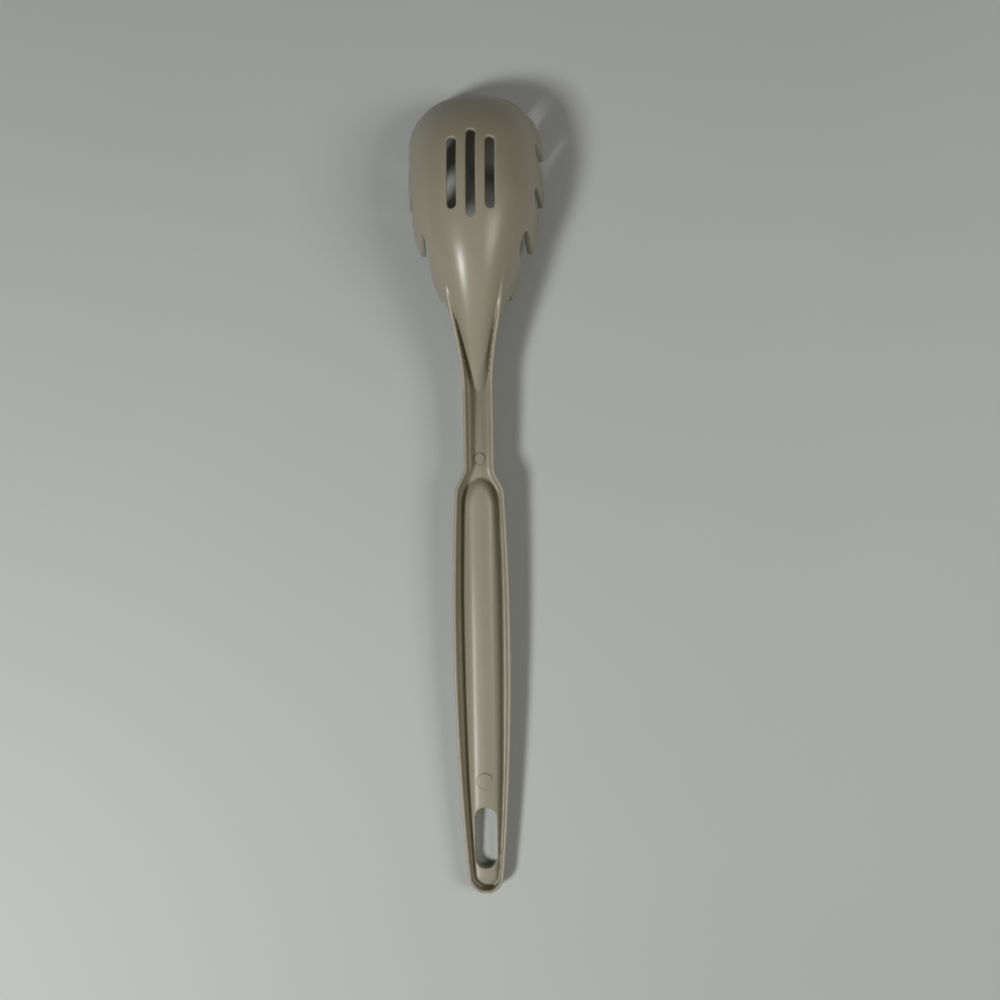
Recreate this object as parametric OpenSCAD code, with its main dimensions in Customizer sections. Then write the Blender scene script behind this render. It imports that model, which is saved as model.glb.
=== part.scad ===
// Pasta server: a spaghetti spoon moulded in one piece, lying face down with the back of its bowl upwards.
// X runs across, Y from the hanging end to the front tine, and Z up from the surface that it lies on.
// The moulding is divided at flat planes into the regions that a person names. Each node is one region,
// and regions that are one wall in the moulding meet face to face.

/* [Bowl] */
// Width across the tines
head_w = 52; // [48:1:56]
// Height of the crown above the tine tips
head_depth = 40; // [38:1:44]
// Length over which the front rounds off
nose_l = 22.5; // [20:0.5:26]
// Length of the straight sides behind the rounded front
body_l = 16; // [13:1:19]
// Length over which the sides spread from the neck to the full width
flare_l = 75.5; // [72:0.5:79]
// Distance from the front back to the crown
crown_l = 48.5; // [44:0.5:54]
// Thickness of the bowl's wall and of the tines
bowl_wall = 2.2; // [1.8:0.1:2.6]

/* [Tines] */
// Length of the front tine below the edge of the bowl
tine_l = 9.5; // [8:0.5:10]
// Height of the foremost gap's round top above the tine tips
gap_high = 14.8; // [13.8:0.2:16]
// Extra height of each gap over the one in front of it
gap_climb = 0.8; // [0.4:0.1:1]
// Width of a gap between two tines at the front
gap_w = 7.4; // [7:0.2:7.8]
// Extra width of each gap along the sides over the one in front of it
gap_growth = 0.8; // [0.5:0.1:1.2]
// Extra width of a gap at the tine tips, on each side
gap_taper = 0.3; // [0.1:0.1:0.6]
// Distance between the front edges of the gaps along the bowl's sides
side_pitch = 18.1; // [17.4:0.1:18.6]
// Width of the last gap, beside the neck
neck_gap_w = 4; // [3:0.2:5]
// Angle at which the line of the tine tips rises towards the handle
tine_pitch = 7; // [5:0.5:8]
// Angle at which the front tine leans back towards the handle
tine_lean = 5; // [3:0.5:8]
// Extra angle of lean per millimetre back from the front
lean_growth = 0.23; // [0.15:0.01:0.3]

/* [Drain slots] */
// Width of the three slots in the crown
slot_w = 3.3; // [2.5:0.2:4.1]
// Length of the middle slot
slot_l = 32.6; // [27:0.4:35]
// Length of the two outer slots
outer_slot_l = 26.6; // [21:0.4:29]
// Distance between neighbouring slots
slot_pitch = 6.8; // [6:0.2:8]
// Distance from the front back to the middle of the slots
slot_setback = 39.2; // [37:0.2:42]

/* [Handle] */
// Length from the hanging end to the neck
grip_l = 164; // [140:1:190]
// Width of the handle at its widest
grip_w = 22; // [19:0.2:24.6]
// Distance from the hanging end to the widest station of the handle
grip_wide_y = 98; // [85:1:110]
// Radius of the long arcs that bound the handle's sides
grip_side_r = 1040; // [940:10:1300]
// Depth of the handle at the hanging end
end_depth = 7; // [6.4:0.2:8.4]
// Depth of the handle where it meets the shoulder
grip_depth = 9.4; // [8.4:0.2:10]
// Length of the shoulder between the handle and the neck
shoulder_l = 10; // [7:0.5:14]
// Thickness of the rim along the handle and the neck
rim_t = 1.6; // [1.3:0.1:1.9]
// Thickness of the trough's floor
floor_t = 2.5; // [2:0.1:3]

/* [Neck] */
// Length of the straight neck
neck_l = 29; // [24:1:38]
// Width of the neck
neck_w = 11.6; // [10.6:0.2:13]
// Depth of the neck
neck_depth = 8.2; // [7.4:0.2:9]
// Height of the neck's rim above the surface that the server lies on
neck_rim_z = 15.6; // [14.8:0.2:16.4]
// Length over which the rims run out on the back of the bowl
rim_run = 45; // [43:0.5:47]
// How far each rim spreads outwards over that length
rim_spread = 5.4; // [5:0.1:5.8]
// How far the rims climb over that length
rim_climb = 14.8; // [14:0.1:15.4]

/* [Hanging slot] */
// Width of the hanging slot
hang_w = 8.8; // [7.4:0.2:9]
// Length of the hanging slot
hang_l = 24.4; // [18:0.4:28]
// Distance from the slot to the hanging end
hang_edge = 8; // [7:0.5:11]

/* [Moulding marks] */
// Diameter of the round ejector marks in the trough
mark_d = 6.2; // [5:0.2:6.8]
// Depth of the ejector marks
mark_depth = 0.3; // [0.2:0.05:0.5]
// Distance from the hanging slot to the mark in the handle
handle_mark_gap = 10; // [8:0.5:14]
// Distance from the neck's start to the mark in the neck
neck_mark_gap = 3.3; // [3.2:0.1:8]

/* [Hidden] */
$fn = 64;
// Clearance by which a cutting shape passes the surface that it opens
over = 1;
// Exponents of the rounded sections and of the nose's plan: 2 is an ellipse, and more is squarer
outer_square = 2.6;
trough_square = 4;
tail_square = 2.8;
bowl_square = 2.3;
front_square = 2;
nose_square = 2.2;
// Powers of the climb and of the flare of the bowl's back, and of the climb of the rims: less
// than 1 is steeper near the neck, and more is slower there
climb_power = 0.68;
flare_power = 1.1;
rim_power = 1.2;
// Numbers of steps round a section, along the neck and the bowl, round the nose and over a tine
section_steps = 20;
dome_steps = 26;
neck_steps = 12;
bowl_steps = 14;
nose_steps = 9;
tine_steps = 6;
root_steps = 2;
tip_steps = 5;
// Gaps on each side of the nose, and along each side behind it, the neck's gap included
nose_gaps = 2;
side_gaps = 4;
side_tines = nose_gaps + side_gaps - 1;
// Angle round the nose from its side to its foremost gap, and from one gap to the next
front_gap_angle = 74;
nose_pitch = 35;
// Distance from the start of the nose back to the first gap of the sides
side_gap_back = 4.6;
// Distance from the front within which the tines stand on the surface
rest_l = 10;
// Rise per millimetre of the bowl's lower edge towards the handle
edge_rise = 0.04;
// Largest share of a tine's length over which its front edge is drawn back to the tip, and its
// growth from each tine to the next behind it
tip_share = 0.85;
tip_growth = 0.2;
// Angles at which the last section of the nose and the round of a tine's tip are cut flat
nose_end_angle = 86;
tip_end_angle = 76;
// Height of the bowl's edge beside the neck
flank_low = 14.5;
// Height by which the tongue between the rims starts above the trough's floor
tongue_step = 0.1;
// Length of the rounding under the hanging end
end_lift = 3.5;
// Flat at the very end of the rounded plan, on each side
end_flat = 0.15;
// Distance from the handle's ejector mark to the plane where the hanging end becomes the grip
end_margin = 4;
// How far the bowl's back lies inside the outer faces of the neck's rims
flank_inset = 0.3;

// Stations along Y, counted from the hanging end
y_shoulder = grip_l - shoulder_l;
y_tail = grip_l + neck_l;
y_nose = y_tail + flare_l + body_l;
y_front = y_nose + nose_l;
y_crown = y_front - crown_l;
y_rest = y_front - rest_l;
y_side_gap = y_nose - side_gap_back;
y_bowl = y_nose + gap_place(side_tines) - neck_gap_w / 2;
y_rim_end = y_tail + rim_run;
hang_mid = hang_edge + hang_l / 2;
y_handle_mark = hang_edge + hang_l + handle_mark_gap;
y_grip = y_handle_mark + mark_d / 2 + end_margin;
y_neck_mark = grip_l + neck_mark_gap;
neck_bottom = neck_rim_z - neck_depth;
end_r = grip_arc(0);
// The front tine leans back, so it may reach furthest above its tip
overall_l = max([for (share = steps(0, 1, section_steps)) skirt_point(90, share, 0).y]);

// General functions

function mix(a, b, q) = a + (b - a) * q;

// Smooth step from 0 to 1
function ease(q) = 0.5 - 0.5 * cos(180 * max(0, min(1, q)));

// Points from first to last in equal steps
function steps(first, last, count) = [for (i = [0 : count]) mix(first, last, i / count)];

// One side of a rounded section: 1 at the middle, 0 at the edge, squarer as the exponent grows
function squared(v, exponent) = sign(v) * pow(abs(v), 2 / exponent);

// Sections of the handle and the neck

function shoulder(y) = ease((y - y_shoulder) / shoulder_l);

// Share of the run-out of the rims on the back of the bowl
function run_out(y) = max(0, (y - y_tail) / rim_run);

// Half the width between the handle's two long side arcs
function grip_arc(y) =
    grip_w / 2 - grip_side_r + sqrt(pow(grip_side_r, 2) - pow(y - grip_wide_y, 2));

// Half width of the rounded plan at a distance from the end of an outline
function rounded_end(y, radius) =
    y >= radius ? 1 : sqrt(1 - pow(1 - (y + end_flat) / (radius + end_flat), 2));

function side(y) = mix(grip_arc(min(y, grip_l)), neck_w / 2, shoulder(y)) + rim_spread * ease(run_out(y));

function rim_line(y) = mix(end_depth, neck_rim_z, min(1, y / y_tail));

function rim_z(y) = rim_line(y) + rim_climb * pow(run_out(y), rim_power);

function depth(y) = mix(mix(end_depth, grip_depth, min(1, y / y_shoulder)), neck_depth, shoulder(y));

function lift(y) = y >= end_lift ? 0 : end_lift * (1 - sqrt(1 - pow(1 - y / end_lift, 2)));

// How far the underside and the bowl's edge climb from the neck to the bowl
function flank_rise(y) =
    (flank_low - neck_bottom - over) * pow(max(0, y - y_tail) / (y_bowl - y_tail), 2);

function bottom_z(y) = rim_line(y) - depth(y) + flank_rise(y);

function floor_z(y) = bottom_z(y) + floor_t;

// Outline of the outside, from one rim round under the handle to the other rim
function outside_ring(y) =
    let (half = side(y) * rounded_end(y, end_r), high = rim_z(y), low = bottom_z(y) + lift(y))
    [for (a = steps(0, 180, section_steps))
        [half * squared(cos(a), outer_square), y, high - (high - low) * squared(sin(a), outer_square)]];

// Outline of the trough, open above the rim
function trough_ring(y) =
    let (
        half = (side(y) - rim_t) * rounded_end(y - rim_t, end_r - rim_t),
        high = rim_z(y),
        low = floor_z(y)
    )
    concat(
        [[half, y, high + over]],
        [for (a = steps(0, 180, section_steps))
            [half * squared(cos(a), trough_square), y, high - (high - low) * squared(sin(a), trough_square)]],
        [[-half, y, high + over]]
    );

// Sections of the bowl, of its outside or, with an inset, of its inside

// Share of a width that is left at a share of the height, on a rounded section
function narrowed(share, square) = pow(max(0, 1 - pow(share, square)), 1 / square);

// Shares of the climb from the neck to the crown and of the flare from the neck to the nose
function climbed(y) = pow(max(0, y - y_tail) / (y_crown - y_tail), climb_power);

function flared(y) = pow(max(0, y - y_tail) / flare_l, flare_power);

function half(y, inset) =
    y <= y_nose
        ? mix(neck_w / 2 - flank_inset, head_w / 2, ease(flared(y))) - inset
        : (head_w / 2 - inset) * narrowed((y - y_nose) / (nose_l - inset), nose_square);

function high(y, inset) =
    y <= y_crown
        ? mix(floor_z(y_tail) + tongue_step, head_depth, ease(climbed(y))) - inset
        : (head_depth - inset) * narrowed((y - y_crown) / (crown_l - inset), front_square);

// Exponent of the section: squarer at the neck than over the bowl
function square_at(y) = mix(tail_square, bowl_square, ease((y - y_tail) / (y_crown - y_tail)));

function half_at(y, z, inset) = half(y, inset) * narrowed(z / high(y, inset), square_at(y));

// Station of the front at a height
function front_y(z, inset) =
    y_crown + (crown_l - inset) * narrowed(z / (head_depth - inset), front_square);

// Arch of the bowl's back at a station, from one side to the other, above a level
function dome_ring(y, inset, level) =
    let (square = square_at(y), start = asin(pow(level / high(y, inset), square / 2)))
    [for (a = steps(180 - start, start, dome_steps))
        [half(y, inset) * squared(cos(a), square), y, high(y, inset) * squared(sin(a), square)]];

// Stations of the bowl, from just behind it to the front at a level
function bowl_stations(inset, level) =
    concat(
        [y_bowl - over],
        steps(y_bowl, y_nose, bowl_steps),
        [for (a = steps(0, nose_end_angle, nose_steps))
            if (a > 0) mix(y_nose, front_y(level, inset), sin(a))]
    );

// Lower edge of the bowl's sides where they grow out of the neck
function flank_z(y) = neck_bottom + over + flank_rise(y);

// Tines

// Heights of the tine tips and of the edge of the bowl at a station
function tip_z(y) = tan(tine_pitch) * max(0, y_rest - y);

function edge_z(y) = tine_l + edge_rise * (y_front - y);

// How far the tines lean back per millimetre of height, more towards the handle
function lean(y) = tan(tine_lean + lean_growth * (y_front - y));

// Places round the rim: degrees round the nose from its side, or else minus the millimetres
// behind the start of the nose
function gap_place(i) =
    i < nose_gaps
        ? front_gap_angle - nose_pitch * i
        : y_side_gap - side_pitch * (i - nose_gaps) - (gap_width(i) - gap_w) / 2 - y_nose;

// Width of a gap in the edge of the bowl, wider towards the handle
function gap_width(i) = i == side_tines ? neck_gap_w : gap_w + gap_growth * max(0, i - nose_gaps);

// Half the width of a gap at a share of the way from the tips to the edge of the bowl
function gap_half(i, share) = gap_width(i) / 2 + gap_taper * (1 - share);

// Station of a place round the rim, at a height
function nose_y(place, z, inset) =
    place > 0 ? mix(y_nose, front_y(z, inset), sin(place)) : y_nose + place;

// Point of the skirt that the tines lie in: a place round the rim, a share of the way from the
// tips to the edge of the bowl, and an inset
function skirt_point(place, share, inset) =
    let (
        nearly = nose_y(place, share * edge_z(y_front), inset),
        z = mix(tip_z(nearly), edge_z(nearly), share),
        y = nose_y(place, z, inset),
        way = place > 90 ? -1 : 1
    )
    [way * half_at(y, z, inset), y - lean(y) * (edge_z(y) - z), z];

// Place of the front edge (way 1) or the rear edge (way -1) of a gap
function gap_edge(i, way, share, inset) =
    let (out = gap_half(i, share))
    gap_place(i) + way * (i < nose_gaps ? asin(out / (head_w / 2 - inset)) : out);

// Places of a tine's rear and front edges. Tine 0 is the front one, from side to side.
function tine_edges(i, share, inset) =
    let (rear = gap_edge(i, 1, share, inset))
    [rear, i == 0 ? 180 - rear : gap_edge(i - 1, -1, share, inset)];

// Points along a tine at a share of its length, keeping a share of its width. The front tine is
// drawn in from both sides, and the others from the front alone.
function tine_row(i, share, inset, keep) =
    let (edges = tine_edges(i, share, inset), kept = i == 0 ? (edges[0] + edges[1]) / 2 : edges[0])
    [for (place = steps(mix(kept, edges[0], keep), mix(kept, edges[1], keep), tine_steps))
        skirt_point(place, share, inset)];

function tine_ring(i, share, keep) =
    let (inner = tine_row(i, share, bowl_wall, keep))
    concat(tine_row(i, share, 0, keep), [for (k = [tine_steps : -1 : 0]) inner[k]]);

// Share of a tine's length over which it is drawn in to its tip
function tip_part(i) = i == 0 ? tip_share : min(tip_share, tip_growth * (i + 1));

// Shapes

// Closed solid through rings that have the same number of points
module loft(rings) {
    count = len(rings[0]);
    last = len(rings) - 1;
    polyhedron(
        points = [for (ring = rings) each ring],
        faces = concat(
            [[for (i = [0 : count - 1]) i]],
            [for (k = [0 : last - 1], i = [0 : count - 1])
                let (a = k * count + i, b = k * count + (i + 1) % count)
                each [[a, a + count, b + count], [a, b + count, b]]],
            [[for (i = [count - 1 : -1 : 0]) last * count + i]]
        )
    );
}

// Slot with round ends along Y, from a height upwards
module slot(x, y, z, length, width, height) {
    translate([x, y, z])
        linear_extrude(height) {
            square([width, length - width], center = true);
            for (end = [-1, 1])
                translate([0, end * (length - width) / 2]) circle(d = width);
        }
}

// Handle and neck: the outside less the trough, between stations that are both in the list
module channel(ys) {
    difference() {
        loft([for (y = ys) outside_ring(y)]);
        trough([for (y = ys) max(y, rim_t)]);
    }
}

// The trough runs past the ends of a region, so that it opens both cut faces
module trough(ys) {
    opens_start = ys[0] > rim_t;
    loft(concat(
        opens_start ? [trough_ring(ys[0] - over)] : [],
        [for (i = [0 : len(ys) - 1]) if (i == 0 || ys[i] > ys[i - 1]) trough_ring(ys[i])],
        [trough_ring(ys[len(ys) - 1] + over)]
    ));
}

// Round mark that an ejector leaves in the trough's floor
module ejector_mark(y) {
    translate([0, y, floor_z(y) - mark_depth]) cylinder(d = mark_d, h = floor_t);
}

// Round top of a gap between two tines, leaning as they do and cut straight through the bowl's wall
module gap(i) {
    at = skirt_point(gap_place(i), 1, 0);
    width = gap_width(i);
    spring = tip_z(at.y) + gap_high + gap_climb * i - width / 2;
    multmatrix([[1, 0, 0, 0], [0, 1, lean(at.y), -lean(at.y) * edge_z(at.y)], [0, 0, 1, 0], [0, 0, 0, 1]])
        translate([at.x, at.y, 0]) rotate([0, 0, max(0, gap_place(i))]) rotate([90, 0, 90])
            translate([0, 0, -head_w / 4]) linear_extrude(head_w / 2) {
                translate([0, spring]) circle(d = width);
                translate([-width / 2, 0]) square([width, spring]);
            }
}

// Tine below the edge of the bowl, drawn in to a round tip
module tine(i) {
    part = tip_part(i);
    loft(concat(
        [for (share = steps(1, part, root_steps)) tine_ring(i, share, 1)],
        [for (a = steps(0, tip_end_angle, tip_steps))
            if (a > 0) tine_ring(i, part * (1 - sin(a) / sin(tip_end_angle)), cos(a))]
    ));
}

// Regions of the moulding

module placed() {
    color([0.71, 0.68, 0.6]) translate([0, -overall_l / 2, 0]) children();
}

module hanging_end() {
    rounding = [for (a = steps(0, 90, 6)) end_r * (1 - cos(a))];
    placed() difference() {
        channel(concat(rounding, [for (y = steps(end_r, y_grip, 6)) if (y > end_r) y]));
        slot(0, hang_mid, -over, hang_l, hang_w, end_depth + 2 * over);
        ejector_mark(y_handle_mark);
    }
}

module grip() {
    placed() channel(concat(
        [for (y = steps(y_grip, y_shoulder, 9)) if (y < y_shoulder) y],
        steps(y_shoulder, grip_l, 8)
    ));
}

// Neck and the part of the bowl's back that grows out of it, between the two rims
module neck() {
    straight = [for (y = steps(grip_l, y_tail, 5)) if (y < y_tail) y];
    growing = concat(steps(y_tail, y_bowl, neck_steps), [y_bowl + over]);
    placed() difference() {
        union() {
            channel(concat(straight, growing));
            loft([for (y = growing) dome_ring(y, 0, flank_z(y))]);
        }
        scoop();
        ejector_mark(y_neck_mark);
        translate([-head_w / 2, y_bowl, -over]) cube([head_w, rim_run, head_depth]);
    }
}

// Hollow under the neck that opens into the bowl
module scoop() {
    stations = concat(steps(y_tail + rim_t, y_bowl, neck_steps), [y_bowl + 2 * over]);
    loft([for (y = stations) dome_ring(y, bowl_wall, 0)]);
}

module bowl() {
    level = tine_l - over;
    placed() intersection() {
        difference() {
            union() {
                loft([for (y = bowl_stations(0, level)) dome_ring(y, 0, level)]);
                channel(concat([y_bowl - over], steps(y_bowl, y_rim_end, 4)));
            }
            hollow();
            for (x = [-slot_pitch, 0, slot_pitch])
                slot(x, y_front - slot_setback, tine_l, x == 0 ? slot_l : outer_slot_l, slot_w, head_depth);
            for (i = [0 : side_tines - 1]) {
                gap(i);
                mirror([1, 0, 0]) gap(i);
            }
        }
        translate([-head_w, y_bowl, 0]) cube([2 * head_w, y_front, 2 * head_depth]);
        above_edge();
    }
}

// Space above the plane in which the tines leave the bowl
module above_edge() {
    translate([0, y_front, tine_l]) rotate([-atan(edge_rise), 0, 0])
        translate([-head_w, -y_front, 0]) cube([2 * head_w, 2 * y_front, 2 * head_depth]);
}

// Inside of the bowl, open below the tines and towards the neck
module hollow() {
    level = tine_l - 2 * over;
    stations = concat([y_bowl - 2 * over], bowl_stations(bowl_wall, level));
    loft([for (y = stations) dome_ring(y, bowl_wall, level)]);
}

module tine_front() {
    placed() tine(0);
}

module side_tine(i) {
    placed() tine(i);
}

hanging_end();
grip();
neck();
bowl();
tine_front();
for (i = [1 : side_tines]) {
    side_tine(i);
    mirror([1, 0, 0]) side_tine(i);
}
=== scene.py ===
"""Looks of the pasta server: one seamless moulding over the CAD regions, seen as in the photograph."""

import math

import bmesh
import bpy
from mathutils import Matrix, Vector


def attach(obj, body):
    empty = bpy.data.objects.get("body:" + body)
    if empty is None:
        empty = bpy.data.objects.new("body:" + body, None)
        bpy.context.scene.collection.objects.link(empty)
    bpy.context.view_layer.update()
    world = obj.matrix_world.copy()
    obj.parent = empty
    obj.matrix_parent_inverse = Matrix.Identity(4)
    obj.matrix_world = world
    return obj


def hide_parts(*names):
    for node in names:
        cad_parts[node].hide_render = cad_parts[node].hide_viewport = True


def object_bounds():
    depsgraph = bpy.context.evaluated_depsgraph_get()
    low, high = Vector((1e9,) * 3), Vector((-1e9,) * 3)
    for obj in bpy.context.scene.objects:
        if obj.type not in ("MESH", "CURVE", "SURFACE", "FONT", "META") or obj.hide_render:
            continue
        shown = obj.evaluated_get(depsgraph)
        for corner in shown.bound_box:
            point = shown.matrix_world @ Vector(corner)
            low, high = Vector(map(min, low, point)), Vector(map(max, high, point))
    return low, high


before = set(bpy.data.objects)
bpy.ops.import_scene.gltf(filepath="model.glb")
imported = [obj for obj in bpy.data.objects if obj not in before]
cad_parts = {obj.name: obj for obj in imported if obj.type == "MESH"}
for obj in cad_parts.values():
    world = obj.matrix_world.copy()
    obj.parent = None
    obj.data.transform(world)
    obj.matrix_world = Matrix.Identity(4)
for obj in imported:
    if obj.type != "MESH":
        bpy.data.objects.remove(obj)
cad_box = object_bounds()

# Sizes of the moulding, in millimetres: those of the part's source, except for the gaps, the rims, the
# hanging slot and the marks, which follow the photograph more closely
HEAD_W = 52
HEAD_DEPTH = 40
NOSE_L = 22.5
BODY_L = 16
FLARE_L = 75.5
CROWN_L = 48.5
BOWL_WALL = 2.2
TINE_L = 9.5
GAP_HIGH = 14.8
GAP_CLIMB = 0.8
GAP_W = 6.2
GAP_GROWTH = 1.4
GAP_TAPER = 0.3
SIDE_PITCH = 18.1
NECK_GAP_W = 4
TINE_PITCH = 7
TINE_LEAN = 5
LEAN_GROWTH = 0.23
SLOT_W = 3.3
SLOT_L = 32.6
OUTER_SLOT_L = 26.6
SLOT_PITCH = 6.8
SLOT_SETBACK = 39.2
GRIP_L = 164
GRIP_W = 22
GRIP_WIDE_Y = 98
GRIP_SIDE_R = 1040
END_DEPTH = 7
GRIP_DEPTH = 9.4
SHOULDER_L = 10
RIM_T = 1.35
FLOOR_T = 2.5
NECK_L = 29
NECK_W = 11.6
NECK_DEPTH = 8.2
NECK_RIM_Z = 15.6
RIM_RUN = 45
RIM_SPREAD = 5.4
RIM_CLIMB = 14.8
HANG_W = 8.3
HANG_L = 23.8
HANG_EDGE = 9.2
HANDLE_MARK_D = 6.5
NECK_MARK_D = 4.8
MARK_LINE = 0.35
MARK_DEPTH = 0.4
HANDLE_MARK_GAP = 10.6
NECK_MARK_GAP = 3.3

# Shape exponents and small allowances of the moulding
OUTER_SQUARE = 2.6
TROUGH_SQUARE = 6
TAIL_SQUARE = 2.8
BOWL_SQUARE = 2.3
FRONT_SQUARE = 2
NOSE_SQUARE = 2.1
CLIMB_POWER = 0.68
FLARE_POWER = 1.1
RIM_POWER = 1.2
END_LIFT = 3.5
END_FLAT = 0.15
FLANK_INSET = 0.3
FLANK_LOW = 14.5
TONGUE_STEP = 0.1
EDGE_RISE = 0.04
REST_L = 10
SIDE_GAP_BACK = 4.6
FRONT_GAP_ANGLE = 74
NOSE_PITCH = 35
NOSE_GAPS = 2
SIDE_GAPS = 4
SIDE_TINES = NOSE_GAPS + SIDE_GAPS - 1
TIP_SHARE = 0.85
TIP_GROWTH = 0.2
TIP_END_ANGLE = 76
ROOT_SHARE = 1.12

# Radii of the rims' outer and inner edges
RIM_R = 0.7
LIP_R = 0.6
# Step up from the handle's grooves to the neck's floor
FLOOR_STEP = 1
STEP_START = 151
STEP_L = 18
# Spine along the middle of the handle's back: its depth below the rims, its section, its two ends, and how
# it runs into the trough
SPINE_DROP = 1.1
SPINE_END_DROP = 2.1
SPINE_DROP_L = 50
SPINE_HALF = 4.3
SPINE_SLOPE = 1.25
SPINE_SHOULDER = 1.6
SPINE_START = 3
SPINE_ROUND_L = 2.6
SPINE_END = 157.4
SPINE_ARCH_L = 9.3
SPINE_RUN_OUT = 8
SPINE_BITE = 0.3
SPINE_REACH = 0.998
# Rounding of all edges: voxel of the remesh, smoothing after it, and share of the triangles that is kept
VOXEL = 0.36
RELAX_FACTOR = 0.5
RELAX_ROUNDS = 8
KEPT_TRIANGLES = 0.34
SHARP_ANGLE = 60

# How far a cutter reaches past a face, and the bowl's edge starts above the neck's underside
OVER = 1
# Just under half, so that two rounded edges of a cutter don't meet
HALF = 0.4995
# Length over which the bowl's edge steps from the flanks to the roots of the tines
EDGE_STEP = 0.02
# Degrees round the nose at which its stations stop, just short of its foremost point
NOSE_STOP = 88.5
# Highest share of an arch's height for its edge, so that the arch doesn't close up
ARCH_FULL = 0.999
# Least height of an arch to divide by
LEAST_HIGH = 1e-6
# Points nearer than this, in metres, become one
MERGE = 1e-6

# Points round the sections, rounded edges and marks
CHANNEL_POINTS = 96
DOME_POINTS = 120
TINE_POINTS = 16
ROUND_STEPS = 6
CUTTER_STEPS = 14
MARK_STEPS = 72

# Stations along each stretch
END_STATIONS = 24
GRIP_STATIONS = 70
SHOULDER_STATIONS = 20
NECK_STATIONS = 12
RIM_STATIONS = 30
SPINE_FOOT_STATIONS = 16
SPINE_STATIONS = 60
SPINE_ARCH_STATIONS = 40
FLANK_STATIONS = 30
BOWL_STATIONS = 46
NOSE_STATIONS = 40
HOLLOW_STATIONS = 70
TINE_STATIONS = 10
TIP_STATIONS = 14

# Stations along the server, counted from the hanging end
Y_SHOULDER = GRIP_L - SHOULDER_L
Y_TAIL = GRIP_L + NECK_L
Y_NOSE = Y_TAIL + FLARE_L + BODY_L
Y_FRONT = Y_NOSE + NOSE_L
Y_CROWN = Y_FRONT - CROWN_L
Y_REST = Y_FRONT - REST_L
Y_SIDE_GAP = Y_NOSE - SIDE_GAP_BACK
Y_BOWL = Y_SIDE_GAP - SIDE_PITCH * (SIDE_GAPS - 1) + GAP_W / 2 - NECK_GAP_W
Y_RIM_END = Y_TAIL + RIM_RUN
NECK_BOTTOM = NECK_RIM_Z - NECK_DEPTH
Y_HANG = HANG_EDGE + HANG_L / 2
Y_HANDLE_MARK = HANG_EDGE + HANG_L + HANDLE_MARK_GAP
Y_NECK_MARK = GRIP_L + NECK_MARK_GAP
Y_SPINE_FOOT = SPINE_START + SPINE_ROUND_L
Y_SPINE_ARCH = SPINE_END - SPINE_ARCH_L

MM = 0.001
START = cad_box[0][1]


def mix(a, b, q):
    return a + (b - a) * q


def ease(q):
    """Smooth step from 0 to 1."""
    return 0.5 - 0.5 * math.cos(math.pi * max(0, min(1, q)))


def steps(first, last, count):
    return [mix(first, last, i / count) for i in range(count + 1)]


def squared(v, exponent):
    """One side of a rounded section: 2 is an ellipse, and more is squarer."""
    return math.copysign(abs(v) ** (2 / exponent), v)


def narrowed(share, square):
    """Share of a width that is left at a share of the height, on a rounded section."""
    return max(0, 1 - max(0, share) ** square) ** (1 / square)


def place(x, y, z):
    """Point of the server, in millimetres from its hanging end, in the frame's metres."""
    return Vector((x * MM, y * MM + START, z * MM))


# Handle and neck


def shoulder(y):
    return ease((y - Y_SHOULDER) / SHOULDER_L)


def run_out(y):
    return max(0, (y - Y_TAIL) / RIM_RUN)


def grip_arc(y):
    return GRIP_W / 2 - GRIP_SIDE_R + math.sqrt(GRIP_SIDE_R ** 2 - (y - GRIP_WIDE_Y) ** 2)


END_R = grip_arc(0)


def rounded_end(y, radius):
    if y >= radius:
        return 1
    return math.sqrt(max(0, 1 - (1 - (y + END_FLAT) / (radius + END_FLAT)) ** 2))


def side(y):
    return mix(grip_arc(min(y, GRIP_L)), NECK_W / 2, shoulder(y)) + RIM_SPREAD * ease(run_out(y))


def rim_line(y):
    return mix(END_DEPTH, NECK_RIM_Z, min(1, y / Y_TAIL))


def rim_z(y):
    return rim_line(y) + RIM_CLIMB * run_out(y) ** RIM_POWER


def flank_rise(y):
    """How far the underside and the bowl's edge climb from the neck to the bowl."""
    return (FLANK_LOW - NECK_BOTTOM - OVER) * (max(0, y - Y_TAIL) / (Y_BOWL - Y_TAIL)) ** 2


def bottom_z(y):
    depth = mix(mix(END_DEPTH, GRIP_DEPTH, min(1, y / Y_SHOULDER)), NECK_DEPTH, shoulder(y))
    return rim_line(y) - depth + flank_rise(y)


def floor_z(y):
    return bottom_z(y) + FLOOR_T


def lift(y):
    return 0 if y >= END_LIFT else END_LIFT * (1 - math.sqrt(1 - (1 - y / END_LIFT) ** 2))


def plan_half(y, inset):
    """Half width of the handle and the neck in plan, drawn in by an inset."""
    return (side(y) - inset) * rounded_end(y - inset, END_R - inset)


def section(half, top, low, exponent, count):
    """Half-round of a rounded section below a level, from one side to the other."""
    return [
        (half * squared(math.cos(a), exponent), top - (top - low) * squared(math.sin(a), exponent))
        for a in steps(0, math.pi, count)
    ]


def outside_ring(y, count):
    """Outline of the outside of the handle or the neck, with the rims' outer edges rounded."""
    top = rim_z(y)
    edge = []
    for a in steps(math.pi / 2, 0, ROUND_STEPS)[:-1]:
        inset = min(RIM_R * (1 - math.cos(a)), y)
        drop = RIM_R - math.sqrt(RIM_R ** 2 - (RIM_R - inset) ** 2)
        edge.append((plan_half(y, inset), top - drop))
    under = section(plan_half(y, 0), top - RIM_R, bottom_z(y) + lift(y), OUTER_SQUARE, count)
    other = [(-x, z) for x, z in reversed(edge)]
    return [(x, y, z) for x, z in edge + under + other]


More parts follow.
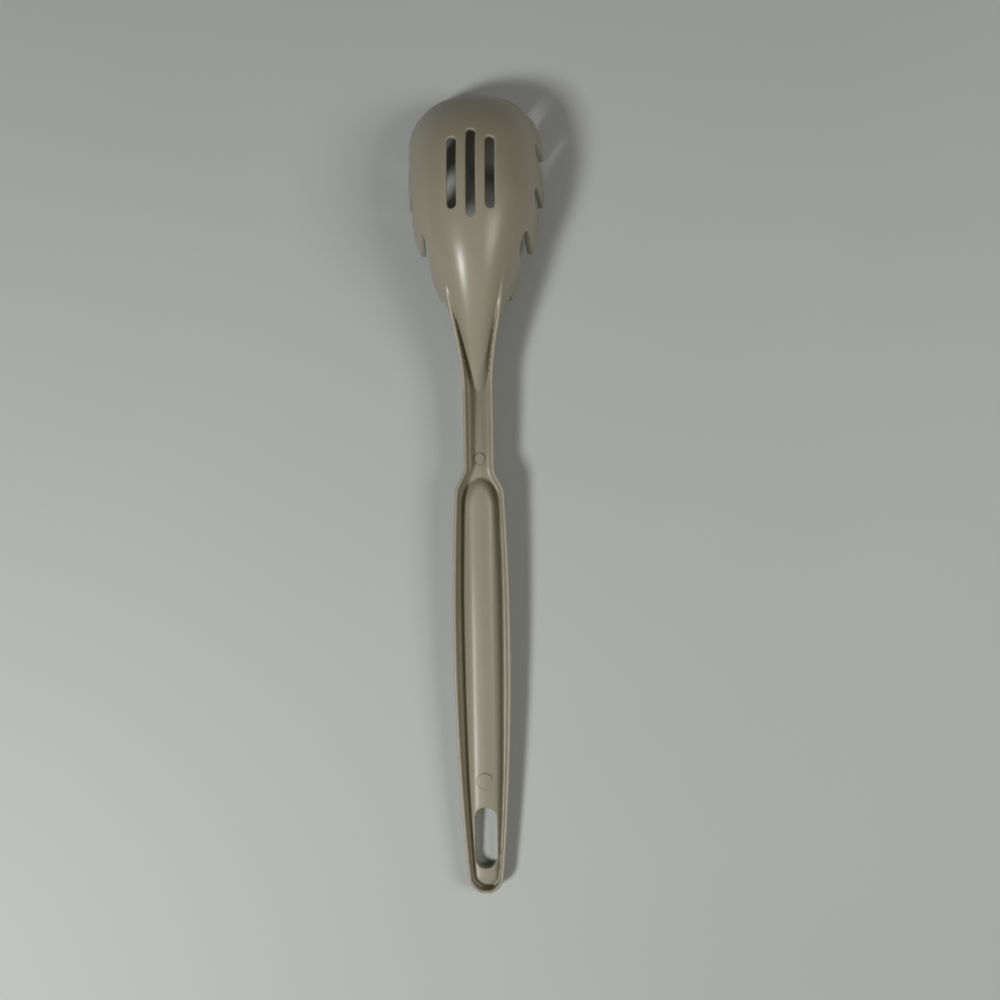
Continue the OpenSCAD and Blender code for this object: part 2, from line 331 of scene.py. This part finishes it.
def trough_floor(y):
    """Floor of the grooves beside the spine, stepping up to the neck's floor."""
    step = FLOOR_STEP * ease((y - STEP_START) / STEP_L)
    return min(floor_z(y) + step, max(floor_z(y), floor_z(Y_TAIL)))


def trough_ring(y, count):
    """Outline of the trough, with the rims' inner edges rounded, open above."""
    top = rim_z(y)
    mouth = plan_half(y, RIM_T - LIP_R)
    lip = [(mouth, top + OVER)]
    for a in steps(math.pi / 2, 0, ROUND_STEPS)[:-1]:
        inset = RIM_T - LIP_R * (1 - math.cos(a))
        lip.append((plan_half(y, inset), top - LIP_R + LIP_R * math.sin(a)))
    under = section(plan_half(y, RIM_T), top - LIP_R, trough_floor(y), TROUGH_SQUARE, count)
    other = [(-x, z) for x, z in reversed(lip)]
    return [(x, y, z) for x, z in lip + under + other]


def spine_out(x, y):
    """How far a point lies outside the edge of the spine's flat top, which is rounded at both ends."""
    along, length = 0, 1
    if y < Y_SPINE_FOOT:
        along, length = Y_SPINE_FOOT - y, SPINE_ROUND_L
    elif y > Y_SPINE_ARCH:
        along, length = y - Y_SPINE_ARCH, SPINE_ARCH_L
    share = math.hypot(x / SPINE_HALF, along / length)
    if share == 0:
        return -SPINE_HALF
    return math.hypot(x, along) * (1 - 1 / share)


def spine_z(x, y):
    """Surface of the spine, which dips towards its two ends and falls away outside its top."""
    near_end = min(y - SPINE_START, SPINE_END - y)
    dip = mix(SPINE_END_DROP, SPINE_DROP, ease(near_end / SPINE_DROP_L))
    out = spine_out(x, y)
    return rim_z(y) - dip - SPINE_SLOPE * (out + math.hypot(out, SPINE_SHOULDER)) / 2


def trough_z(x, y):
    """Floor and walls of the trough, from above."""
    share = abs(x) / plan_half(y, RIM_T)
    return mix(rim_z(y) - LIP_R, trough_floor(y), narrowed(share, TROUGH_SQUARE))


def spine_ring(y, count):
    """Outline of the spine at a station: flat top, rounded shoulders, and flanks down to the trough."""
    wide = plan_half(y, RIM_T) * SPINE_REACH
    across = steps(wide, -wide, count)
    top = [(x, y, max(trough_z(x, y) - SPINE_BITE / 2, spine_z(x, y))) for x in across]
    under = [(x, y, trough_z(x, y) - SPINE_BITE) for x in reversed(across)]
    return top + under


# Bowl


def climbed(y):
    """Share of the climb from the neck to the crown."""
    return (max(0, y - Y_TAIL) / (Y_CROWN - Y_TAIL)) ** CLIMB_POWER


def flared(y):
    """Share of the flare from the neck to the nose."""
    return (max(0, y - Y_TAIL) / FLARE_L) ** FLARE_POWER


def half(y, inset):
    if y <= Y_NOSE:
        return mix(NECK_W / 2 - FLANK_INSET, HEAD_W / 2, ease(flared(y))) - inset
    return (HEAD_W / 2 - inset) * narrowed((y - Y_NOSE) / (NOSE_L - inset), NOSE_SQUARE)


def high(y, inset):
    if y <= Y_CROWN:
        start = floor_z(Y_TAIL) + TONGUE_STEP
        return mix(start, HEAD_DEPTH, ease(climbed(y))) - inset
    return (HEAD_DEPTH - inset) * narrowed((y - Y_CROWN) / (CROWN_L - inset), FRONT_SQUARE)


def square_at(y):
    return mix(TAIL_SQUARE, BOWL_SQUARE, ease((y - Y_TAIL) / (Y_CROWN - Y_TAIL)))


def half_at(y, z, inset):
    return half(y, inset) * narrowed(z / max(high(y, inset), LEAST_HIGH), square_at(y))


def front_y(z, inset):
    return Y_CROWN + (CROWN_L - inset) * narrowed(z / (HEAD_DEPTH - inset), FRONT_SQUARE)


def dome_ring(y, inset, level, count):
    """Arch of the bowl's back at a station, above a level."""
    square = square_at(y)
    start = math.asin(min(1, max(0, level) / high(y, inset)) ** (square / 2))
    ring = []
    for a in steps(math.pi - start, start, count):
        ring.append((
            half(y, inset) * squared(math.cos(a), square),
            y,
            high(y, inset) * squared(math.sin(a), square),
        ))
    return ring


def tip_z(y):
    return math.tan(math.radians(TINE_PITCH)) * max(0, Y_REST - y)


def edge_z(y):
    return TINE_L + EDGE_RISE * (Y_FRONT - y)


def flank_z(y):
    return NECK_BOTTOM + OVER + flank_rise(y)


# Tines: places round the rim are degrees round the nose, or minus the millimetres behind it


def lean(y):
    """How far the tines lean back per millimetre of height."""
    return math.tan(math.radians(TINE_LEAN + LEAN_GROWTH * (Y_FRONT - y)))


def gap_width(i):
    return NECK_GAP_W if i == SIDE_TINES else GAP_W + GAP_GROWTH * max(0, i - NOSE_GAPS)


def gap_place(i):
    if i < NOSE_GAPS:
        return FRONT_GAP_ANGLE - NOSE_PITCH * i
    return Y_SIDE_GAP - SIDE_PITCH * (i - NOSE_GAPS) - (gap_width(i) - GAP_W) / 2 - Y_NOSE


def nose_y(where, z, inset):
    if where <= 0:
        return Y_NOSE + where
    return mix(Y_NOSE, front_y(z, inset), math.sin(math.radians(where)))


def skirt_point(where, share, inset):
    """Point of the skirt that the tines lie in, at a share of the way from the tips to the bowl's edge."""
    nearly = nose_y(where, share * edge_z(Y_FRONT), inset)
    z = mix(tip_z(nearly), edge_z(nearly), share)
    y = nose_y(where, z, inset)
    way = -1 if where > 90 else 1
    return (way * half_at(y, z, inset), y - lean(y) * max(0, edge_z(y) - z), z)


def gap_edge(i, way, share, inset):
    out = gap_width(i) / 2 + GAP_TAPER * max(0, 1 - share)
    if i < NOSE_GAPS:
        out = math.degrees(math.asin(out / (HEAD_W / 2 - inset)))
    return gap_place(i) + way * out


def tine_edges(i, share, inset):
    rear = gap_edge(i, 1, share, inset)
    return rear, 180 - rear if i == 0 else gap_edge(i - 1, -1, share, inset)


def tine_ring(i, share, keep, count):
    """Outline of a tine at a share of its length, keeping a share of its width."""
    rows = []
    for inset in (0, BOWL_WALL):
        rear, fore = tine_edges(i, share, inset)
        kept = (rear + fore) / 2 if i == 0 else rear
        rows.append([
            skirt_point(where, share, inset)
            for where in steps(mix(kept, rear, keep), mix(kept, fore, keep), count)
        ])
    return rows[0] + rows[1][::-1]


def tip_part(i):
    return TIP_SHARE if i == 0 else min(TIP_SHARE, TIP_GROWTH * (i + 1))


# Making of meshes


def loft(name, rings):
    """Closed solid through rings that have the same number of points."""
    around = len(rings[0])
    bm = bmesh.new()
    bmesh.ops.create_grid(bm, x_segments=around, y_segments=len(rings) - 1, size=1)
    for k, vert in enumerate(bm.verts):
        row, column = divmod(k, around + 1)
        vert.co = place(*rings[row][column % around])
    bmesh.ops.remove_doubles(bm, verts=bm.verts, dist=MERGE)
    bmesh.ops.holes_fill(bm, edges=[e for e in bm.edges if e.is_boundary], sides=0)
    bmesh.ops.triangulate(bm, faces=bm.faces)
    bmesh.ops.recalc_face_normals(bm, faces=bm.faces)
    return as_object(name, bm)


def as_object(name, bm):
    mesh = bpy.data.meshes.new(name)
    bm.to_mesh(mesh)
    bm.free()
    obj = bpy.data.objects.new(name, mesh)
    bpy.context.scene.collection.objects.link(obj)
    return obj


def apply_modifiers(obj):
    """Gives the object the mesh that its modifiers make."""
    bpy.context.view_layer.update()
    graph = bpy.context.evaluated_depsgraph_get()
    mesh = bpy.data.meshes.new_from_object(obj.evaluated_get(graph))
    old = obj.data
    obj.modifiers.clear()
    obj.data = mesh
    bpy.data.meshes.remove(old)


def combine(body, tools, operation):
    """Joins or cuts the body by each tool and removes the tools."""
    for tool in tools:
        step = body.modifiers.new("step", "BOOLEAN")
        step.operation = operation
        step.solver = "MANIFOLD"
        step.object = tool
        apply_modifiers(body)
        mesh = tool.data
        bpy.data.objects.remove(tool)
        bpy.data.meshes.remove(mesh)
    return body


def rounded_cutter(size, edges_along, offset):
    """Box standing on the origin's level, with its upright edges, or upper ones along an axis, rounded."""
    bm = bmesh.new()
    bmesh.ops.create_cube(bm, size=1)
    bmesh.ops.scale(bm, vec=Vector(size) * MM, verts=bm.verts)
    bmesh.ops.translate(bm, vec=(0, 0, size[2] / 2 * MM), verts=bm.verts)
    edges = [
        e for e in bm.edges
        if abs((e.verts[0].co - e.verts[1].co)[edges_along]) > MM
        and (edges_along == 2 or e.verts[0].co.z > MM)
    ]
    bmesh.ops.bevel(
        bm, geom=edges, offset=offset * MM, offset_type="OFFSET", affect="EDGES",
        segments=CUTTER_STEPS, profile=0.5, material=-1, clamp_overlap=False,
    )
    return bm


def slot_cutter(x, y, z, length, width, height):
    """Upright cutter with round ends."""
    bm = rounded_cutter((width, length, height), 2, width * HALF)
    bmesh.ops.translate(bm, vec=place(x, y, z), verts=bm.verts)
    return as_object("slot_cutter", bm)


def gap_cutter(i, way):
    """Round-topped cutter of the bowl's edge between two tines, leaning as they do."""
    x, y, _ = skirt_point(gap_place(i), 1, 0)
    width = gap_width(i)
    height = tip_z(y) + GAP_HIGH + GAP_CLIMB * i
    bm = rounded_cutter((HEAD_W / 2, width, height), 0, width * HALF)
    turn = Matrix.Rotation(math.radians(max(0, gap_place(i))), 4, "Z")
    shear = Matrix.Identity(4)
    shear[1][2] = lean(y)
    shear[1][3] = -lean(y) * edge_z(y) * MM
    mirror = Matrix.Diagonal((way, 1, 1, 1))
    to_place = mirror @ Matrix.Translation(place(x, y, 0)) @ shear @ turn
    bmesh.ops.transform(bm, matrix=to_place, verts=bm.verts)
    bmesh.ops.recalc_face_normals(bm, faces=bm.faces)
    return as_object("gap_cutter", bm)


def end_stations(first):
    """Stations of the handle's round end from a first one, closest together there."""
    return [first + (END_R - first) * (1 - math.cos(a)) for a in steps(0, math.pi / 2, END_STATIONS)]


def nose_stations(last):
    """Stations of the nose nearly to a last one, closest together there."""
    return [mix(Y_NOSE, last, math.sin(a)) for a in steps(0, math.radians(NOSE_STOP), NOSE_STATIONS)[1:]]


def channel():
    """Handle and neck, with the trough cut and the spine added."""
    ys = end_stations(0)
    ys += steps(END_R, Y_SHOULDER, GRIP_STATIONS)[1:]
    ys += steps(Y_SHOULDER, GRIP_L, SHOULDER_STATIONS)[1:]
    ys += steps(GRIP_L, Y_TAIL, NECK_STATIONS)[1:]
    ys += steps(Y_TAIL, Y_RIM_END, RIM_STATIONS)[1:]
    body = loft("channel", [outside_ring(y, CHANNEL_POINTS) for y in ys])

    trough_ys = end_stations(RIM_T) + [y for y in ys if y > END_R] + [Y_RIM_END + OVER]
    trough = loft("trough", [trough_ring(y, CHANNEL_POINTS) for y in trough_ys])
    combine(body, [trough], "DIFFERENCE")

    spine_ys = steps(RIM_T, Y_SPINE_FOOT, SPINE_FOOT_STATIONS)[1:]
    spine_ys += steps(Y_SPINE_FOOT, Y_SPINE_ARCH, SPINE_STATIONS)[1:]
    spine_ys += steps(Y_SPINE_ARCH, SPINE_END + SPINE_RUN_OUT, SPINE_ARCH_STATIONS)[1:]
    spine = loft("spine", [spine_ring(y, CHANNEL_POINTS) for y in spine_ys])
    return combine(body, [spine], "UNION")


def dome():
    """The bowl, still solid, down to the flanks and further forward to the roots of the tines."""
    rings = [dome_ring(y, 0, flank_z(y), DOME_POINTS) for y in steps(Y_TAIL, Y_BOWL, FLANK_STATIONS)]
    for y in steps(Y_BOWL + EDGE_STEP, Y_NOSE, BOWL_STATIONS) + nose_stations(front_y(TINE_L, 0)):
        level = min(edge_z(y), high(y, 0) * ARCH_FULL)
        rings.append(dome_ring(y, 0, level, DOME_POINTS))
    return loft("dome", rings)


def openings():
    """Cutters of the bowl's hollow, the drain slots, the hanging slot and the gaps."""
    hollow_ys = steps(Y_TAIL + RIM_T, Y_NOSE, HOLLOW_STATIONS) + nose_stations(front_y(0, BOWL_WALL))
    cutters = [loft("hollow", [dome_ring(y, BOWL_WALL, 0, DOME_POINTS) for y in hollow_ys])]
    for x in (-SLOT_PITCH, 0, SLOT_PITCH):
        length = OUTER_SLOT_L if x else SLOT_L
        cutters.append(slot_cutter(x, Y_FRONT - SLOT_SETBACK, TINE_L, length, SLOT_W, HEAD_DEPTH))
    cutters.append(slot_cutter(0, Y_HANG, -OVER, HANG_L, HANG_W, 2 * END_DEPTH))
    for i in range(SIDE_TINES):
        cutters += [gap_cutter(i, 1), gap_cutter(i, -1)]
    return cutters


def tine(i, way):
    """One tine, from a little inside the bowl's wall to its round tip."""
    part = tip_part(i)
    stop = math.radians(TIP_END_ANGLE)
    rings = [tine_ring(i, share, 1, TINE_POINTS) for share in steps(ROOT_SHARE, part, TINE_STATIONS)]
    for a in steps(0, stop, TIP_STATIONS)[1:]:
        share = part * (1 - math.sin(a) / math.sin(stop))
        rings.append(tine_ring(i, share, math.cos(a), TINE_POINTS))
    if way < 0:
        rings = [[(-x, y, z) for x, y, z in ring] for ring in rings]
    return loft("tine", rings)


def moulding_blank():
    """The server before its edges are rounded."""
    body = channel()
    combine(body, [dome()], "UNION")
    combine(body, openings(), "DIFFERENCE")
    tines = [tine(0, 1)]
    for i in range(1, SIDE_TINES + 1):
        tines += [tine(i, 1), tine(i, -1)]
    return combine(body, tines, "UNION")


def mark_cutter(y, floor, across):
    """Thin ring that the edge of an ejector pin leaves in a floor."""
    bm = bmesh.new()
    low, top = -MARK_DEPTH * MM, OVER * MM
    inner, outer = (across / 2 - MARK_LINE) * MM, across / 2 * MM
    profile = ((inner, low), (outer, low), (outer, top), (inner, top))
    corners = [bm.verts.new((radius, 0, z)) for radius, z in profile]
    edges = [bm.edges.new((corners[k - 1], corners[k])) for k in range(len(corners))]
    bmesh.ops.spin(
        bm, geom=corners + edges, cent=(0, 0, 0), axis=(0, 0, 1), angle=2 * math.pi,
        steps=MARK_STEPS, use_merge=True,
    )
    bmesh.ops.recalc_face_normals(bm, faces=bm.faces)
    bmesh.ops.translate(bm, vec=place(0, y, floor), verts=bm.verts)
    return as_object("mark_cutter", bm)


def server_moulding():
    """The server with all edges rounded and the ejector marks cut."""
    body = moulding_blank()
    body.name = "server_moulding"
    remesh = body.modifiers.new("remesh", "REMESH")
    remesh.mode = "VOXEL"
    remesh.voxel_size = VOXEL * MM
    relax = body.modifiers.new("relax", "SMOOTH")
    relax.factor = RELAX_FACTOR
    relax.iterations = RELAX_ROUNDS
    thin = body.modifiers.new("thin", "DECIMATE")
    thin.ratio = KEPT_TRIANGLES
    apply_modifiers(body)
    marks = [
        mark_cutter(Y_HANDLE_MARK, spine_z(0, Y_HANDLE_MARK), HANDLE_MARK_D),
        mark_cutter(Y_NECK_MARK, trough_floor(Y_NECK_MARK), NECK_MARK_D),
    ]
    combine(body, marks, "DIFFERENCE")
    body.data.name = "server_moulding"
    for polygon in body.data.polygons:
        polygon.use_smooth = True
    body.data.set_sharp_from_angle(angle=math.radians(SHARP_ANGLE))
    return body


server = server_moulding()


def uneven_surface():
    """Shading that both materials share: slow patches of tone, and a fine grain."""
    group = bpy.data.node_groups.new("uneven_surface", "ShaderNodeTree")
    group.interface.new_socket("Patch Scale", in_out="INPUT", socket_type="NodeSocketFloat")
    group.interface.new_socket("Grain Scale", in_out="INPUT", socket_type="NodeSocketFloat")
    group.interface.new_socket("Patch", in_out="OUTPUT", socket_type="NodeSocketFloat")
    group.interface.new_socket("Grain", in_out="OUTPUT", socket_type="NodeSocketFloat")
    nodes, links = group.nodes, group.links
    given = nodes.new("NodeGroupInput")
    result = nodes.new("NodeGroupOutput")
    where = nodes.new("ShaderNodeTexCoord")
    for name, detail in (("Patch", 3), ("Grain", 2)):
        noise = nodes.new("ShaderNodeTexNoise")
        noise.inputs["Detail"].default_value = detail
        links.new(where.outputs["Object"], noise.inputs["Vector"])
        links.new(given.outputs[name + " Scale"], noise.inputs["Scale"])
        links.new(noise.outputs["Fac"], result.inputs[name])
    return group


SURFACE = uneven_surface()
# Roughness that the handle has over the bowl's
HANDLE_MATT = 0.08


def finish(name, dark, pale, smooth, rough, patch_scale, grain_scale, grain_depth):
    """Material that varies between two colours and two roughnesses, with a fine grain in relief."""
    material = bpy.data.materials.new(name)
    material.use_nodes = True
    nodes, links = material.node_tree.nodes, material.node_tree.links
    shader = nodes["Principled BSDF"]
    surface = nodes.new("ShaderNodeGroup")
    surface.node_tree = SURFACE
    surface.inputs["Patch Scale"].default_value = patch_scale
    surface.inputs["Grain Scale"].default_value = grain_scale
    tone = nodes.new("ShaderNodeMix")
    tone.data_type = "RGBA"
    tone.inputs["A"].default_value = (*dark, 1)
    tone.inputs["B"].default_value = (*pale, 1)
    sheen = nodes.new("ShaderNodeMapRange")
    sheen.name = "sheen"
    sheen.inputs["To Min"].default_value = smooth
    sheen.inputs["To Max"].default_value = rough
    relief = nodes.new("ShaderNodeBump")
    relief.inputs["Distance"].default_value = grain_depth * MM
    links.new(surface.outputs["Patch"], tone.inputs["Factor"])
    links.new(tone.outputs["Result"], shader.inputs["Base Color"])
    links.new(surface.outputs["Patch"], sheen.inputs["Value"])
    links.new(sheen.outputs["Result"], shader.inputs["Roughness"])
    links.new(surface.outputs["Grain"], relief.inputs["Height"])
    links.new(relief.outputs["Normal"], shader.inputs["Normal"])
    return material


def nylon():
    """Moulded nylon, glossier on the bowl than on the back of the handle."""
    material = finish(
        "moulded_nylon", dark=(0.250, 0.231, 0.172), pale=(0.282, 0.262, 0.198), smooth=0.29, rough=0.37,
        patch_scale=45, grain_scale=2600, grain_depth=0.02,
    )
    nodes, links = material.node_tree.nodes, material.node_tree.links
    shader = nodes["Principled BSDF"]
    shader.inputs["Subsurface Weight"].default_value = 0.2
    shader.inputs["Subsurface Radius"].default_value = (1, 0.96, 0.8)
    shader.inputs["Subsurface Scale"].default_value = 5 * MM
    where = nodes.new("ShaderNodeTexCoord")
    apart = nodes.new("ShaderNodeSeparateXYZ")
    matt = nodes.new("ShaderNodeMapRange")
    matt.inputs["From Min"].default_value = place(0, Y_TAIL, 0).y
    matt.inputs["From Max"].default_value = place(0, Y_RIM_END, 0).y
    matt.inputs["To Min"].default_value = HANDLE_MATT
    matt.inputs["To Max"].default_value = 0
    total = nodes.new("ShaderNodeMath")
    links.new(where.outputs["Object"], apart.inputs["Vector"])
    links.new(apart.outputs["Y"], matt.inputs["Value"])
    links.new(matt.outputs["Result"], total.inputs[0])
    links.new(nodes["sheen"].outputs["Result"], total.inputs[1])
    links.new(total.outputs["Value"], shader.inputs["Roughness"])
    return material


server.data.materials.clear()
server.data.materials.append(nylon())
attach(server, "root")
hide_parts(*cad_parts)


def floor_sheet():
    """Wide floor under the server, which isn't a piece of it."""
    half_side = 2
    bm = bmesh.new()
    bmesh.ops.create_grid(bm, x_segments=1, y_segments=1, size=half_side)
    floor = as_object("floor", bm)
    material = finish(
        "pale_floor", dark=(0.405, 0.420, 0.415), pale=(0.435, 0.450, 0.445), smooth=0.6, rough=0.75,
        patch_scale=9, grain_scale=700, grain_depth=0.03,
    )
    floor.data.materials.append(material)


floor_sheet()


def lamp(name, power, size, spot, tint):
    """Area lamp at a spot, turned to the frame's origin."""
    light = bpy.data.lights.new(name, "AREA")
    light.color = tint
    light.energy = power
    light.size = size
    obj = bpy.data.objects.new(name, light)
    bpy.context.scene.collection.objects.link(obj)
    obj.location = spot
    obj.rotation_euler = (-Vector(spot)).to_track_quat("-Z", "Y").to_euler()


def room():
    """Weak, warm light from all round."""
    world = bpy.data.worlds.new("room")
    bpy.context.scene.world = world
    world.use_nodes = True
    background = world.node_tree.nodes["Background"]
    background.inputs["Color"].default_value = (1, 0.97, 0.9, 1)
    background.inputs["Strength"].default_value = 0.095


lamp("left_lamp", power=6.6, size=0.18, spot=(-0.50, -0.385, 0.70), tint=(1, 1, 1))
lamp("right_lamp", power=3.2, size=0.42, spot=(0.66, -0.08, 0.64), tint=(1, 0.98, 0.92))
room()


def photo_camera():
    """Camera above the server, aimed so that the point below it falls at a pixel right of the centre."""
    pixels = 1000
    spot = (0.023, -0.001, 0.3902)
    below = (540.5, 498)
    roll = math.radians(0.88)
    # The lens is as long as the film is wide, so a share of the picture is also a slope
    film = 36
    camera = bpy.data.cameras.new("photo_camera")
    camera.sensor_width = film
    camera.lens = film
    obj = bpy.data.objects.new("photo_camera", camera)
    bpy.context.scene.collection.objects.link(obj)
    aim = Vector((-(below[0] / pixels - 0.5), below[1] / pixels - 0.5, -1)).normalized()
    up = Vector((math.sin(roll), math.cos(roll), 0))
    across = up.cross(-aim).normalized()
    obj.location = spot
    obj.rotation_euler = Matrix((across, (-aim).cross(across), -aim)).transposed().to_euler()
    bpy.context.scene.camera = obj


photo_camera()
bpy.context.scene.view_settings.view_transform = "Standard"
